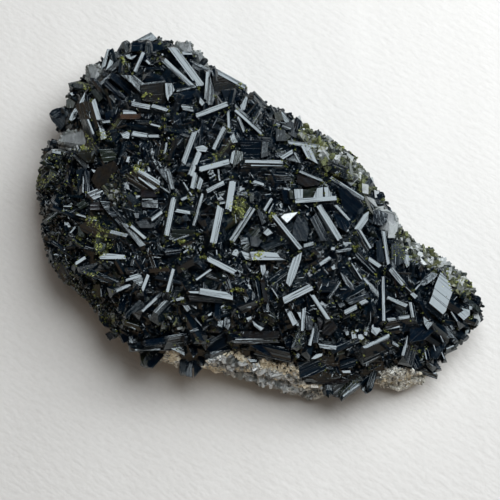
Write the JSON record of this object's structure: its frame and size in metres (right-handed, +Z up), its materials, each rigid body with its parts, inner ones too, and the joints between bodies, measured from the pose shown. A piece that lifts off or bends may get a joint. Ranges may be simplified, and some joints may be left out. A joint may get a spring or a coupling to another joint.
{
  "type": "epidote crystal specimen",
  "caption": "Mineral specimen: a crust of dark green-black lath-shaped crystals on a pale rock base with a flat underside.",
  "frame": {"origin": "centre of the specimen's bounding box at the level of its flat underside", "axes": "+Z up from the underside; +X along the longest side of the outline, towards the narrow tip; +Y towards the rounded lobe"},
  "size_m": [0.1249, 0.1072, 0.0317],
  "materials": {
    "matrix_rock": "dull, granular, pale beige and grey",
    "quartz": "translucent grey, waxy",
    "epidote": "glassy green-black, finely striated, with pistachio-green dust"
  },
  "bodies": {
    "root": {"matrix": "matrix_rock", "quartz_west": "quartz", "quartz_northwest": "quartz", "quartz_north": "quartz", "quartz_northeast": "quartz", "quartz_east": "quartz", "epidote": "epidote"}
  },
  "joints": []
}
